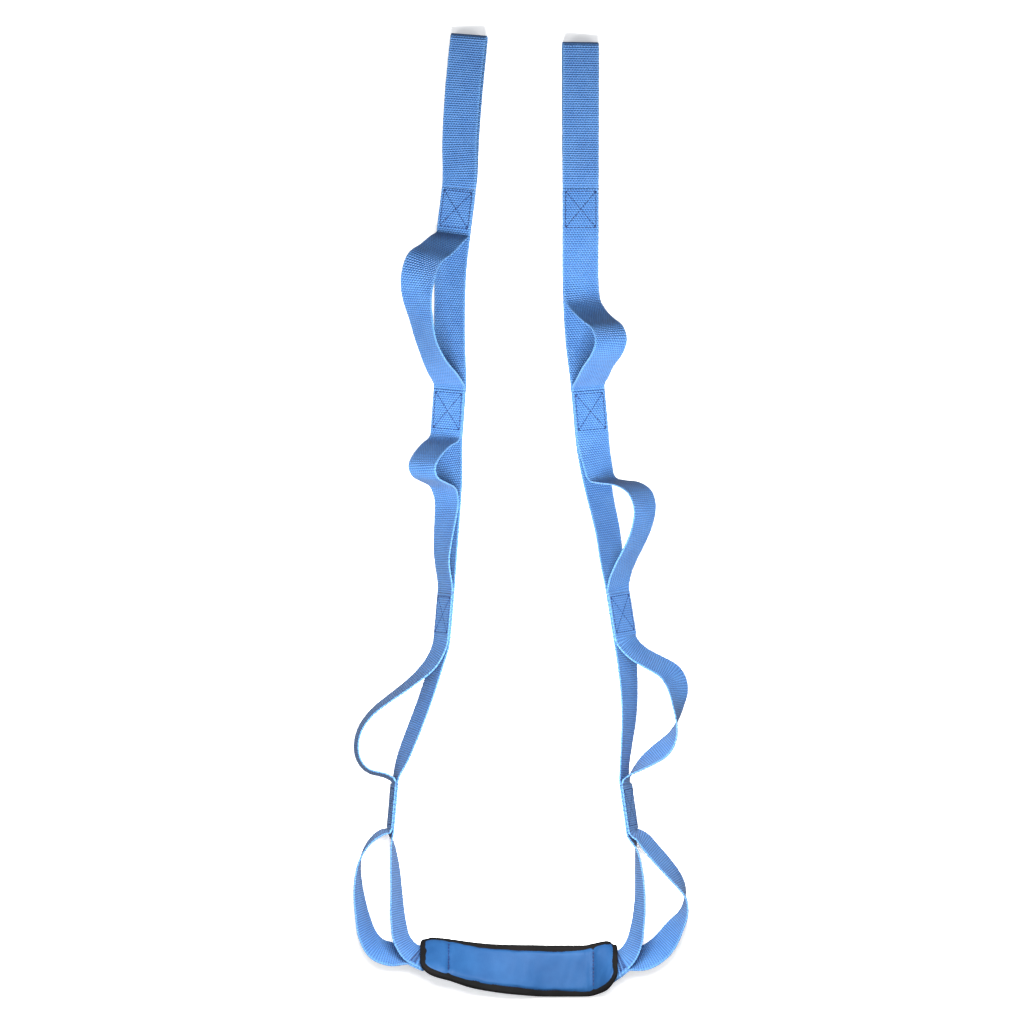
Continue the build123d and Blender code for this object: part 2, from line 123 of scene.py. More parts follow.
# Base strap between the blocks: x, y, z, tilt
LEFT_BASE = {
    2: [(-172, 221, 19.5, 72), (-160, 252, 19, 68), (-148, 284, 19, 68), (-137, 318, 19, 68)],
    3: [(-124, 431, 18.5, 61), (-123.5, 460, 17.5, 55), (-123, 515, 15, 42)],
    4: [(-122, 650, 13.5, 31), (-122, 700, 15.5, 32), (-120.5, 746, 20, 27)],
}
RIGHT_BASE = {
    2: [(61, 212, 19.5, 76), (63, 235, 19.3, 73), (66, 268, 18.5, 66), (66, 295, 18, 62), (64, 323, 18, 58)],
    3: [(48, 429, 17, 50), (43.5, 462, 16, 47), (36, 496, 15, 43), (30, 530, 13.5, 34)],
    4: [(18, 655, 9, 18), (15.5, 704, 9.5, 10), (15, 742, 15.5, 7)],
}

# Loop straps, from the pad outwards: x, y, z, tilt
LEFT_LOOPS = {
    1: [
        (-170, 18, 18.5, 124),
        (-184, 18, 16.5, 129),
        (-198, 23, 16.5, 127),
        (-208, 37, 17, 119),
        (-214, 60, 18.5, 111),
        (-218, 90, 19.5, 102),
        (-215, 120, 20, 90),
        (-204, 138, 20, 84),
        (-191, 147, 20, 82),
    ],
    2: [
        (-182, 202, 20, 83),
        (-192, 206.5, 20, 83),
        (-207, 210, 20, 83),
        (-217, 221, 20, 83),
        (-220, 237, 20, 83),
        (-216, 254, 20, 83),
        (-204, 271, 20, 82),
        (-184, 287, 20, 80),
        (-159, 306, 19.5, 76),
        (-141, 324, 19, 69),
    ],
    3: [
        (-130, 431, 22, 66),
        (-129, 452, 20.5, 60),
        (-126.5, 474, 19, 54),
        (-125, 494, 17.5, 48),
        (-128, 506, 22, 44),
        (-138, 513, 38, 44),
        (-149, 520, 51, 43),
        (-151, 529, 53, 41),
        (-146, 540, 46, 40),
        (-137, 551, 32, 37),
    ],
    4: [
        (-127.6, 624, 26, 31),
        (-138, 641, 41, 48),
        (-147, 662, 51, 54),
        (-152, 684, 60, 48),
        (-156, 706, 66, 34),
        (-155, 727, 68, 19),
        (-149, 745, 62, 9),
        (-134, 758, 47, 10),
        (-123, 769, 34, 17),
    ],
}
RIGHT_LOOPS = {
    1: [
        (69, 12.5, 18, 126),
        (81, 13.5, 16.5, 130),
        (92, 19, 16, 131),
        (103, 29, 16, 129),
        (113, 44, 17.5, 120),
        (123, 60, 19.5, 104),
        (125.5, 76, 20, 92),
        (120, 91, 19.5, 76),
        (106, 110, 18.5, 68),
        (92, 126, 18.5, 67),
        (79, 141, 19.5, 70),
    ],
    2: [
        (65.5, 204, 20, 86),
        (75, 213, 19.5, 100),
        (90, 225, 18, 114),
        (103, 235, 18, 116),
        (112, 247, 19, 104),
        (116, 262, 20, 88),
        (117, 280, 19, 70),
        (117, 297, 17.5, 55),
        (112, 310, 16, 52),
        (101, 319, 17, 59),
        (86, 327, 17.5, 61),
        (72.5, 336, 18, 59),
    ],
    3: [
        (56, 412, 25, 54),
        (62, 428, 36, 55),
        (71, 446, 47, 55),
        (79, 466, 56, 54),
        (82, 486, 60, 52),
        (77, 502, 54, 49),
        (64, 511, 41, 46),
        (50, 513, 27, 44),
        (38, 516, 16.5, 42),
        (32.5, 534, 16, 36),
    ],
    4: [
        (27, 621, 25.3, 26),
        (34, 635, 43, 28),
        (43, 648, 57, 28),
        (47, 661, 62, 28),
        (44, 673, 58, 27),
        (33, 683, 44, 24),
        (23, 694, 28, 20),
        (17, 705, 17.5, 13),
        (15.5, 718, 15.5, 9),
        (15, 745, 19.5, 7),
    ],
}

# Hand loops, beyond the last block: x, y, z, tilt of the surface midway between the two layers
LEFT_HAND = [(-110.5, 872, 18.5, 17), (-107, 925, 14.5, 13), (-102, 976, 10.5, 10)]
RIGHT_HAND = [(15, 872, 18.5, 5), (15, 920, 14.5, 5), (15, 968, 10.5, 6)]

# Base strap from the left arm's first block, under the pad, to the right arm's first block.
# Its width direction is taken on the left of the way the stations run.
CENTRE_LEFT = [
    (-182, 134, 20.5, 93),
    (-180, 116, 20.5, 101),
    (-178, 85, 20.5, 107),
    (-176, 53, 19.5, 113),
    (-171, 31, 19.5, 117),
    (-162.5, 20.5, 20.5, 121),
    (-152, 15.5, 22.5, 124),
    (-138, 12, 21.5, 133),
    (-120, 8.5, 19, 138),
    (-98, 4, 15.5, 147),
    (-72, 1, 12, 155),
    (-45, 0, 6.5, 167),
]
CENTRE_RIGHT = [
    (38, 3, 9, 160),
    (50, 7, 17.5, 138),
    (59, 12, 20, 125),
    (67, 21, 19.5, 118),
    (72, 32, 19, 114),
    (75, 47, 19.5, 110),
    (77.5, 78, 20.5, 105),
    (76.5, 103, 20.5, 101),
    (73.5, 128, 20.5, 91),
]

PAD_LEFT_END = -152.0
PAD_RIGHT_END = 53.0
CROSS_SEAMS = (-123.0, 28.5)
LOOP_TAIL = {"left": (-147.0, -158.0), "right": (47.0, 59.0)}
BAR_TACKS = {"left": (-154.6, -157.4), "right": (55.4, 58.2)}


def width_direction(along, tilt, turn):
    """The webbing's width direction. turn is +1 where it lies left of the way along, and -1 on the right."""
    level = UP.cross(along).normalized() * turn
    square = along.cross(level).normalized() * turn
    return (level * cos(radians(tilt)) + square * sin(radians(tilt))).normalized()


class Block:
    """A stretch where both layers are sewn flat together."""

    def __init__(self, x, y, z, heading, pitch, tilt, turn):
        flat = Vector((cos(radians(heading)), sin(radians(heading)), 0))
        self.along = (flat * cos(radians(pitch)) + UP * sin(radians(pitch))).normalized()
        self.across = width_direction(self.along, tilt, turn)
        self.outward = self.across.cross(self.along) * -turn
        self.middle = Vector((x, y, z))

    def at(self, along, across=0.0, outward=0.0):
        return self.middle + self.along * along + self.across * across + self.outward * outward


def smooth_line(stations, start_along, end_along):
    """Evenly spaced (point, width direction) samples of a smooth line through such stations."""
    points = [p for p, _ in stations]
    sides = [w for _, w in stations]
    gaps = [(b - a).length for a, b in zip(points, points[1:])]
    slopes = [(b - a) / g for a, b, g in zip(points, points[1:], gaps)]
    turns = [(b - a) / g for a, b, g in zip(sides, sides[1:], gaps)]
    still = Vector((0, 0, 0))
    leads = [start_along, *blended(slopes, gaps), end_along]
    rolls = [still, *blended(turns, gaps), still]
    samples = [(points[0], sides[0])]
    for i, gap in enumerate(gaps):
        count = max(1, round(gap / STEP))
        for k in range(1, count + 1):
            u = k / count
            point = hermite(points[i], leads[i], points[i + 1], leads[i + 1], gap, u)
            side = hermite(sides[i], rolls[i], sides[i + 1], rolls[i + 1], gap, u)
            samples.append((point, side))
    return samples


def blended(slopes, gaps):
    """The lead at each inner station, from the slopes on its two sides."""
    rows = zip(slopes, slopes[1:], gaps, gaps[1:])
    return [(a * gap_b + b * gap_a) / (gap_a + gap_b) for a, b, gap_a, gap_b in rows]


def hermite(a, lead_a, b, lead_b, gap, u):
    """The point a share u of the way from a to b, leaving and arriving along the leads."""
    shape = 3 * u**2 - 2 * u**3
    bow_a = (u - 2 * u**2 + u**3) * gap
    bow_b = (u**3 - u**2) * gap
    return a * (1 - shape) + b * shape + lead_a * bow_a + lead_b * bow_b


def relaxed(samples, rounds=5):
    """The same samples with their small kinks eased out, and both ends kept."""
    rows = list(samples)
    for _ in range(rounds):
        eased = rows[:]
        for i in range(2, len(rows) - 2):
            for_point = rows[i - 1][0] * 0.25 + rows[i][0] * 0.5 + rows[i + 1][0] * 0.25
            for_side = rows[i - 1][1] * 0.25 + rows[i][1] * 0.5 + rows[i + 1][1] * 0.25
            eased[i] = (for_point, for_side)
        rows = eased
    return rows


def frames(samples):
    """(middle, along, across, outward) at each sample, square to one another."""
    found = []
    for i, (point, side) in enumerate(samples):
        before = samples[max(i - 1, 0)][0]
        after = samples[min(i + 1, len(samples) - 1)][0]
        along = (after - before).normalized()
        across = (side - along * side.dot(along)).normalized()
        found.append((point, along, across, along.cross(across)))
    return found


def stations_on_path(rows, before, after, turn):
    """Stations with the width direction square to the way in plan, from rows of x, y, z, tilt."""
    points = [before] + [Vector((x, y, z)) for x, y, z, _ in rows] + [after]
    found = []
    for i, (_, _, _, tilt) in enumerate(rows):
        way = points[i + 2] - points[i]
        found.append((points[i + 1], width_direction(Vector((way.x, way.y, 0)).normalized(), tilt, turn)))
    return found


def stations_on_arm(rows, first, last, turn):
    """Stations whose width direction turns evenly in plan from one block's heading to the next one's."""
    found = []
    for i, (x, y, z, tilt) in enumerate(rows):
        share = (i + 1) / (len(rows) + 1)
        way = first.along * (1 - share) + last.along * share
        found.append((Vector((x, y, z)), width_direction(Vector((way.x, way.y, 0)).normalized(), tilt, turn)))
    return found


def sewn_samples(block, level):
    """Samples of one layer's flat stretch in a block, from its near end to its far end."""
    count = round(BLOCK_LENGTH / STEP)
    stops = [-EDGE + BLOCK_LENGTH * k / count for k in range(count + 1)]
    return [(block.at(along, 0, level), block.across) for along in stops]


def new_mesh(name, verts, faces, uvs=None):
    """A mesh object from points in millimetres, with smooth faces, and a UV layer in centimetres of cloth."""
    mesh = bpy.data.meshes.new(name)
    mesh.from_pydata([v * MM for v in verts], [], faces)
    mesh.validate()
    mesh.shade_smooth()
    if uvs is not None:
        layer = mesh.uv_layers.new(name="Cloth")
        for loop in mesh.loops:
            layer.data[loop.index].uv = uvs[loop.vertex_index]
    obj = bpy.data.objects.new(name, mesh)
    bpy.context.scene.collection.objects.link(obj)
    return obj


def ring_profile():
    """The webbing's section as (across, outward) points: flat faces and thick rounded selvedges."""
    half = WEB_WIDTH / 2
    thin = WEB_THICKNESS / 2
    stops = (-0.90, -0.84, -0.6, -0.3, 0.0, 0.3, 0.6, 0.84, 0.90)
    face = [(s * half, thin - (0.12 if abs(s) == 0.84 else 0.0)) for s in stops]
    edge = [(0.955 * half, thin * 1.02), (0.985 * half, thin * 0.8), (half, thin * 0.35)]
    top = [(-x, z) for x, z in reversed(edge)] + face + edge
    return top + [(x, -z) for x, z in reversed(top)]


PROFILE = ring_profile()


def ribbon(name, spine, seed, length_from=0.0):
    """Webbing along (middle, along, across, outward) rows, its selvedges a little uneven."""
    verts = []
    uvs = []
    run = length_from
    for i, (point, _, across, outward) in enumerate(spine):
        if i:
            run += (point - spine[i - 1][0]).length
        for x, z in PROFILE:
            drift = noise.noise(Vector((run * 0.11, seed + (7 if x > 0 else 0), 0))) * 0.25
            wave = drift * (abs(x) / (WEB_WIDTH / 2)) ** 4 * (1 if x > 0 else -1)
            verts.append(point + across * (x + wave) + outward * z)
            uvs.append((x / 10, run / 10))
    count = len(PROFILE)
    faces = []
    for i in range(len(spine) - 1):
        for k in range(count):
            a, b = i * count + k, i * count + (k + 1) % count
            faces.append((a, b, b + count, a + count))
    last = (len(spine) - 1) * count
    faces.append(tuple(range(count - 1, -1, -1)))
    faces.append(tuple(last + k for k in range(count)))
    obj = new_mesh(name, verts, faces, uvs)
    obj.data.materials.append(webbing_blue)
    return obj


def thread_beads(name, runs, width=STITCH_WIDTH):
    """Single stitches, each (start, end, normal), as low rounded beads of thread."""
    verts = []
    faces = []
    shape = [(-0.5, 0.35, 0.1), (-0.36, 0.9, 0.8), (0.0, 1.0, 1.0), (0.36, 0.9, 0.8), (0.5, 0.35, 0.1)]
    for start, end, normal in runs:
        along = end - start
        side = along.cross(normal).normalized() * (width / 2)
        middle = (start + end) / 2
        base = len(verts)
        for share, wide, high in shape:
            for angle in range(0, 181, 36):
                lift = sin(radians(angle)) * STITCH_HEIGHT * high - 0.12
                verts.append(middle + along * share + side * (cos(radians(angle)) * wide) + normal * lift)
        for i in range(len(shape) - 1):
            for k in range(5):
                a = base + i * 6 + k
                faces.append((a, a + 1, a + 7, a + 6))
        faces.append(tuple(base + k for k in range(5, -1, -1)))
        faces.append(tuple(base + 24 + k for k in range(6)))
    obj = new_mesh(name, verts, faces)
    obj.data.materials.append(thread_navy)
    return obj


def stitched(start, end, normal, seed):
    """Stitches one after another from start to end, each a little off the line."""
    count = max(1, round((end - start).length / STITCH_PITCH))
    way = (end - start).normalized()
    side = way.cross(normal)
    found = []
    for k in range(count):
        middle = start + (end - start) * ((k + 0.5) / count)
        sway = side * (noise.noise(Vector((seed, k * 0.8, 0))) * 0.35)
        turn = side * (noise.noise(Vector((k * 0.7, seed, 3))) * 0.3)
        half = way * (STITCH_LENGTH / 2)
        found.append((middle + sway - half - turn, middle + sway + half + turn, normal))
    return found


def box_stitch(name, block, seed):
    """A box-X stitch: a frame and its two diagonals, on both faces of the stack."""
    half_w = STITCH_BOX_WIDTH / 2
    half_l = STITCH_BOX_LENGTH / 2
    runs = []
    for level, sign in ((LAYER_PITCH + WEB_THICKNESS / 2, 1), (-WEB_THICKNESS / 2, -1)):
        normal = block.outward * sign
        corners = [block.at(a * half_l, c * half_w, level) for a, c in ((-1, -1), (-1, 1), (1, 1), (1, -1))]
        for a, b in ((0, 1), (1, 2), (2, 3), (3, 0), (0, 2), (1, 3)):
            runs += stitched(corners[a], corners[b], normal, seed + a * 3.1 + b * 7.7 + sign)
    return thread_beads(name, runs)


# Materials


def node(tree, kind, **values):
    """A new node with its own settings."""
    made = tree.nodes.new(kind)
    for key, value in values.items():
        setattr(made, key, value)
    return made


def wired(tree, kind, inputs, **values):
    """A node with its inputs set to numbers, or linked to other nodes' outputs."""
    made = node(tree, kind, **values)
    for key, value in inputs.items():
        if isinstance(value, bpy.types.NodeSocket):
            tree.links.new(value, made.inputs[key])
        else:
            made.inputs[key].default_value = value
    return made


def maths(tree, operation, a, b=0.0):
    """One sum of two values."""
    return wired(tree, "ShaderNodeMath", {0: a, 1: b}, operation=operation).outputs[0]


def mixed(tree, factor, a, b):
    """Colour a at factor 0 and colour b at factor 1."""
    return wired(tree, "ShaderNodeMix", {0: factor, 6: a, 7: b}, data_type="RGBA").outputs[2]


def ramped(tree, value, low, high):
    """0 at low to 1 at high."""
    return wired(tree, "ShaderNodeMapRange", {0: value, 1: low, 2: high, 3: 0.0, 4: 1.0}).outputs[0]


def material(name, roughness, sheen=0.0, sheen_tint=(1, 1, 1), gloss=0.5):
    """A material, its node tree and its shader."""
    made = bpy.data.materials.new(name)
    made.use_nodes = True
    shader = made.node_tree.nodes["Principled BSDF"]
    shader.inputs["Roughness"].default_value = roughness
    shader.inputs["Specular IOR Level"].default_value = gloss
    shader.inputs["Sheen Weight"].default_value = sheen
    shader.inputs["Sheen Roughness"].default_value = 0.45
    shader.inputs["Sheen Tint"].default_value = (*sheen_tint, 1)
    return made, made.node_tree, shader


def make_webbing(name, shade, light, deep):
    """Woven webbing: rows of yarn across the width, every other yarn raised and the sunken ones darkened with
    painted shade, and selvedges lightened with a painted highlight.
    """
    made, tree, shader = material(name, 0.45, 0.08, (1, 1, 1), 0.45)
    uv = node(tree, "ShaderNodeUVMap", uv_map="Cloth").outputs[0]
    parts = wired(tree, "ShaderNodeSeparateXYZ", {0: uv}).outputs
    across, run = parts[0], parts[1]
    rows = maths(tree, "SINE", maths(tree, "MULTIPLY", run, 2 * pi * ROWS_PER_CM))
    yarns = maths(tree, "SINE", maths(tree, "MULTIPLY", across, pi * YARNS_PER_CM))
    lines = maths(tree, "SINE", maths(tree, "MULTIPLY", run, pi * ROWS_PER_CM))
    checker = maths(tree, "MULTIPLY", yarns, lines)
    weave = maths(tree, "ADD", maths(tree, "MULTIPLY", checker, 0.55), maths(tree, "MULTIPLY", rows, 0.5))
    raised = ramped(tree, weave, -0.7, 0.7)
    place = node(tree, "ShaderNodeTexCoord").outputs["Object"]
    mottle = wired(tree, "ShaderNodeTexNoise", {"Vector": place, "Scale": 55.0, "Detail": 3.0}).outputs[0]
    fuzz = wired(tree, "ShaderNodeTexNoise", {"Vector": place, "Scale": 900.0, "Detail": 2.0}).outputs[0]
    # The sunken yarns take the deep colour, painted shade in the weave's gaps; the raised pattern and the
    # bump are the real weave.
    base = mixed(tree, raised, (*deep, 1), (*shade, 1))
    base = mixed(tree, maths(tree, "MULTIPLY", ramped(tree, mottle, 0.35, 0.7), 0.12), base, (*light, 1))
    # The outer few millimetres of each selvedge are mixed towards the light colour, a painted highlight where
    # the rounded edge catches light.
    edge = ramped(tree, maths(tree, "ABSOLUTE", across), 1.62, 1.9)
    base = mixed(tree, maths(tree, "MULTIPLY", edge, 0.38), base, (*light, 1))
    tree.links.new(base, shader.inputs["Base Color"])
    height = maths(tree, "ADD", raised, maths(tree, "MULTIPLY", fuzz, 0.35))
    bump = wired(tree, "ShaderNodeBump", {"Height": height, "Strength": 0.9, "Distance": 0.0011})
    tree.links.new(bump.outputs[0], shader.inputs["Normal"])
    return made


ROWS_PER_CM = 4.2
YARNS_PER_CM = 7.0
WEB_SHADE = (0.07, 0.22, 0.53)
# The light colour serves both the cloth's random mottle and the painted highlight on the selvedges.
WEB_LIGHT = (0.15, 0.36, 0.68)
# The deep colour is painted shade for the weave's sunken yarns and gaps.
WEB_PAINTED_GAP_SHADE = (0.013, 0.06, 0.21)
webbing_blue = make_webbing("webbing_blue", WEB_SHADE, WEB_LIGHT, WEB_PAINTED_GAP_SHADE)


def make_cloth(name, shade, light, scale, roughness, depth, sheen, gloss):
    """A finer plain cloth whose grain and tone come from noise in the object's own space."""
    made, tree, shader = material(name, roughness, sheen, light, gloss)
    place = node(tree, "ShaderNodeTexCoord").outputs["Object"]
    broad = wired(tree, "ShaderNodeTexNoise", {"Vector": place, "Scale": 38.0, "Detail": 4.0}).outputs[0]
    grain = wired(tree, "ShaderNodeTexVoronoi", {"Vector": place, "Scale": scale}).outputs[0]
    tone = mixed(tree, ramped(tree, broad, 0.3, 0.75), (*shade, 1), (*light, 1))
    tree.links.new(tone, shader.inputs["Base Color"])
    height = maths(tree, "ADD", grain, maths(tree, "MULTIPLY", broad, 0.8))
    bump = wired(tree, "ShaderNodeBump", {"Height": height, "Strength": 0.4, "Distance": depth})
    tree.links.new(bump.outputs[0], shader.inputs["Normal"])
    return made


NAVY_DARK = (0.003, 0.013, 0.06)
NAVY = (0.006, 0.025, 0.11)
PAD_BLUE_DARK = (0.008, 0.05, 0.15)
PAD_BLUE = (0.014, 0.07, 0.19)
BINDING_DARK = (0.002, 0.002, 0.002)
BINDING_WORN = (0.006, 0.005, 0.005)
INK_DARK = (0.001, 0.003, 0.015)
INK = (0.003, 0.006, 0.03)
# The numbers are the grain's scale, roughness, bump depth in metres, sheen and gloss
thread_navy = make_cloth("thread_navy", NAVY_DARK, NAVY, 2600.0, 0.5, 0.0002, 0.05, 0.3)
pad_nylon = make_cloth("pad_nylon", PAD_BLUE_DARK, PAD_BLUE, 1500.0, 0.6, 0.0003, 0.05, 0.2)
binding_black = make_cloth("binding_black", BINDING_DARK, BINDING_WORN, 1300.0, 0.85, 0.0006, 0.02, 0.15)
thread_black = make_cloth("thread_black", INK_DARK, INK, 2600.0, 0.6, 0.0002, 0.05, 0.2)


# The strap


def centre_samples(left_block, right_block):
    """The base strap from the left arm's first block, under the pad, to the right arm's first block."""
    level = WEB_THICKNESS / 2
    flat = Vector((0, -1, 0))
    way = Vector((1, 0, 0))
    flat_start = Vector((-PAD_FLAT_HALF_LENGTH, 0, level))
    flat_end = Vector((PAD_FLAT_HALF_LENGTH, 0, level))
    left_foot = left_block.at(-EDGE - LEAD)
    right_foot = right_block.at(-EDGE - LEAD)
    rows = [(left_foot, left_block.across), *stations_on_path(CENTRE_LEFT, left_foot, flat_start, 1)]
    left = smooth_line([*rows, (flat_start, flat)], -left_block.along, way)
    rows = [(flat_end, flat), *stations_on_path(CENTRE_RIGHT, flat_end, right_foot, 1)]
    right = smooth_line([*rows, (right_foot, right_block.across)], way, right_block.along)
    flats = [(Vector((x, 0, level)), flat) for x in range(-18, 19, 3)]
    return left + flats + right


class Pad:
    """Places on the pad: x along it, across towards its raised edge, height above the webbing's middle."""

    def __init__(self, samples):
        self.frames = [row for row in frames(samples) if abs(row[0].y) < PAD_REACH]

    def frame(self, x):
        for (p, _, a, n), (q, _, b, m) in zip(self.frames, self.frames[1:]):
            if p.x <= x <= q.x:
                share = (x - p.x) / (q.x - p.x)
                return p.lerp(q, share), a.lerp(b, share), n.lerp(m, share)
        raise ValueError(f"{x} is not on the pad")

    def at(self, x, across, height):
        middle, side, outward = self.frame(x)
        return middle + side * across - outward * height

    def place(self, x, across, height):
        """A point of the padded piece, whose sections stay square to X while the strap under it turns."""
        along = x
        for _ in range(12):
            along += x - self.at(along, across, height).x
        return self.at(along, across, height)

    def tail(self, start, end):
        """Rows of a second layer lying under the strap from start to end, bending where the strap bends."""
        sign = 1 if end > start else -1
        inner = [row[0].x for row in self.frames if 0 < (row[0].x - start) * sign < (end - start) * sign]
        rows = []
        for x in [start, *inner[::sign], end]:
            _, side, outward = self.frame(x)
            along = side.cross(outward).normalized() * sign
            rows.append((self.at(x, 0, -LAYER_PITCH), along, side, outward * sign))
        return rows


def base_span(name, rows, first, last, turn, seed):
    """Base strap from one block's end to the far end of the next block."""
    start = first.at(EDGE + LEAD)
    end = last.at(-EDGE - LEAD)
    middle = stations_on_path(rows, start, end, turn)
    line = smooth_line([(start, first.across), *middle, (end, last.across)], first.along, last.along)
    samples = [(first.at(EDGE), first.across), *relaxed(line), *sewn_samples(last, 0.0)]
    return ribbon(name, frames(samples), seed)


def loop_span(name, rows, first, last, turn, follow_path, seed):
    """Loop strap from one block's end, out and back in, to the far end of the next block."""
    start = first.at(EDGE + LEAD / 2, 0, LAYER_PITCH)
    end = last.at(-EDGE - LEAD / 2, 0, LAYER_PITCH)
    if follow_path:
        middle = stations_on_path(rows, start, end, turn)
    else:
        middle = stations_on_arm(rows, first, last, turn)
    line = smooth_line([(start, first.across), *middle, (end, last.across)], first.along, last.along)
    root = (first.at(EDGE, 0, LAYER_PITCH), first.across)
    return ribbon(name, frames([root, *relaxed(line), *sewn_samples(last, LAYER_PITCH)]), seed)


def first_loop(name, rows, pad, tail, block, turn, seed):
    """The loop nearest the pad: its end is sewn under the base strap beside the pad."""
    sewn = pad.tail(*tail)
    start, way, side, _ = sewn[-1]
    end = block.at(-EDGE - LEAD / 2, 0, LAYER_PITCH)
    middle = stations_on_path(rows, start, end, turn)
    line = smooth_line([(start, side), *middle, (end, block.across)], way, block.along)
    free = frames([*relaxed(line), *sewn_samples(block, LAYER_PITCH)])
    return ribbon(name, sewn + free[1:], seed)


def hand_loop(name, rows, block, turn, seed):
    """The end of the strap, folded back on itself."""
    start = block.at(EDGE, 0, LAYER_PITCH / 2)
    rows_end = Vector(rows[-1][:3])
    middle = stations_on_path(rows, start, rows_end * 2 - Vector(rows[-2][:3]), turn)
    end_way = (middle[-1][0] - middle[-2][0]).normalized()
    line = smooth_line([(start, block.across), *middle], block.along, end_way)
    spine = frames(line)
    if spine[0][3].dot(block.outward) < 0:
        spine = [(point, along, across, -outward) for point, along, across, outward in spine]
    last = len(spine) - 1
    lower = []
    upper = []
    for i, (point, _, across, outward) in enumerate(spine):
        share = i / last
        spread = LAYER_PITCH / 2 + (HAND_LOOP_FOLD_RADIUS - LAYER_PITCH / 2) * (1 - (1 - share) ** 2)
        lower.append((point - outward * spread, across))
        upper.append((point + outward * spread, across))
    point, along, across, outward = spine[-1]
    turns = []
    for angle in range(-80, 81, 10):
        reach = outward * sin(radians(angle)) + along * cos(radians(angle))
        turns.append((point + reach * HAND_LOOP_FOLD_RADIUS, across))
    return ribbon(name, frames(lower + turns + upper[::-1]), seed)


def bar_tack(name, pad, places):
    """Dense zigzag rows that hold the loop strap's end, on both faces of the stack."""
    runs = []
    count = round(BAR_TACK_LENGTH / BAR_TACK_PITCH)
    for x in places:
        for level, sign in ((WEB_THICKNESS / 2, 1), (-LAYER_PITCH - WEB_THICKNESS / 2, -1)):
            _, _, outward = pad.frame(x)
            for k in range(count):
                across = -BAR_TACK_LENGTH / 2 + BAR_TACK_LENGTH * (k + 0.5) / count
                lean = BAR_TACK_PITCH * (0.3 if k % 2 else -0.3)
                start = pad.at(x - BAR_TACK_WIDTH / 2, across - lean, level)
                end = pad.at(x + BAR_TACK_WIDTH / 2, across + lean, level)
                runs.append((start, end, -outward.normalized() * sign))
    return thread_beads(name, runs)


def half_width(x, inset):
    """Half of the pad's width at x, a given distance inside its outline."""
    half = PAD_WIDTH / 2 - inset
    radius = PAD_CORNER_RADIUS - inset
    from_end = min(x - PAD_LEFT_END, PAD_RIGHT_END - x) - inset
    if from_end >= radius:
        return half
    return half - radius + sqrt(max(radius**2 - (radius - from_end) ** 2, 0.0))


def puffed(obj):
    """Pressure in a cloth skin swells the stuffed piece, no point further than the cap."""
    resting = [v.co.copy() for v in obj.data.vertices]
    cloth = obj.modifiers.new("Cloth", "CLOTH")
    cloth.settings.use_pressure = True
    cloth.settings.uniform_pressure_force = PAD_PRESSURE
    cloth.settings.tension_stiffness = PAD_STIFFNESS
    cloth.settings.effector_weights.gravity = 0.0
    cloth.point_cache.frame_start = 1
    cloth.point_cache.frame_end = PAD_FRAMES
    for number in range(1, PAD_FRAMES + 1):
        bpy.context.scene.frame_set(number)
    dg = bpy.context.evaluated_depsgraph_get()
    swollen = [v.co.copy() for v in obj.evaluated_get(dg).data.vertices]
    obj.modifiers.remove(cloth)
    bpy.context.scene.frame_set(1)
    for vertex, start, end in zip(obj.data.vertices, resting, swollen):
        push = end - start
        if push.length > PAD_SWELL_CAP * MM:
            push *= PAD_SWELL_CAP * MM / push.length
        vertex.co = start + push


def pad_blank():
    """The stuffed pad laid straight: x along it, y across and z up, a little slimmer than it ends up."""
    inset = PAD_SLIMMING
    left, right = PAD_LEFT_END + inset, PAD_RIGHT_END - inset
    columns = [left + (right - left) * k / PAD_SLICES for k in range(PAD_SLICES + 1)]
    shares = [-1 + 2 * k / PAD_SLICES_ACROSS for k in range(PAD_SLICES_ACROSS + 1)]
    verts = []
    for x in columns:
        half = half_width(x, inset)
        for share in shares:
            from_end = min(x - left, right - x)
            rim = min(1.0, (1 - abs(share)) * half / PAD_SHOULDER, from_end / PAD_SHOULDER)
            top = PAD_EDGE_TOP + (PAD_MIDDLE_TOP - PAD_EDGE_TOP) * sin(rim * pi / 2) - inset
            verts.append(Vector((x, share * half, top)))
            verts.append(Vector((x, share * half, PAD_FLOOR + inset * 0.5)))
    faces = []
    wide = len(shares)

    def at(i, k, under):
        return (i * wide + k) * 2 + under

    for i in range(len(columns) - 1):
        for k in range(wide - 1):
            faces.append((at(i, k, 0), at(i + 1, k, 0), at(i + 1, k + 1, 0), at(i, k + 1, 0)))
            faces.append((at(i, k + 1, 1), at(i + 1, k + 1, 1), at(i + 1, k, 1), at(i, k, 1)))
        for k, order in ((0, 1), (wide - 1, -1)):
            face = (at(i, k, 1), at(i + 1, k, 1), at(i + 1, k, 0), at(i, k, 0))
            faces.append(face[::order])
    for i, order in ((0, -1), (len(columns) - 1, 1)):
        for k in range(wide - 1):
            face = (at(i, k, 1), at(i, k + 1, 1), at(i, k + 1, 0), at(i, k, 0))
            faces.append(face[::order])
    return new_mesh("pad_body", verts, faces)


def seam_press(x, across):
    """How deep the two cross seams pull the cover down, with the small puckers they make."""
    depth = 0.0
    for seam in CROSS_SEAMS:
        away = abs(x - seam)
        pucker = 1 + 0.5 * noise.noise(Vector((across * 0.35, seam, 0)))
        depth += SEAM_DEPTH * pucker * exp(-((away / SEAM_SPREAD) ** 2))
    return depth


def cover_wrinkle(x, across):
    """Slight creases of the nylon cover, mostly across the pad and stronger near its ends."""
    near_end = max(0.0, 1 - min(x - PAD_LEFT_END, PAD_RIGHT_END - x) / 60)
    long_fold = noise.noise(Vector((x * 0.045, across * 0.02, 4.0)))
    fine_fold = noise.noise(Vector((x * 0.16 + across * 0.05, across * 0.06, 9.0)))
    return long_fold * 0.5 + fine_fold * (0.22 + 0.35 * near_end)


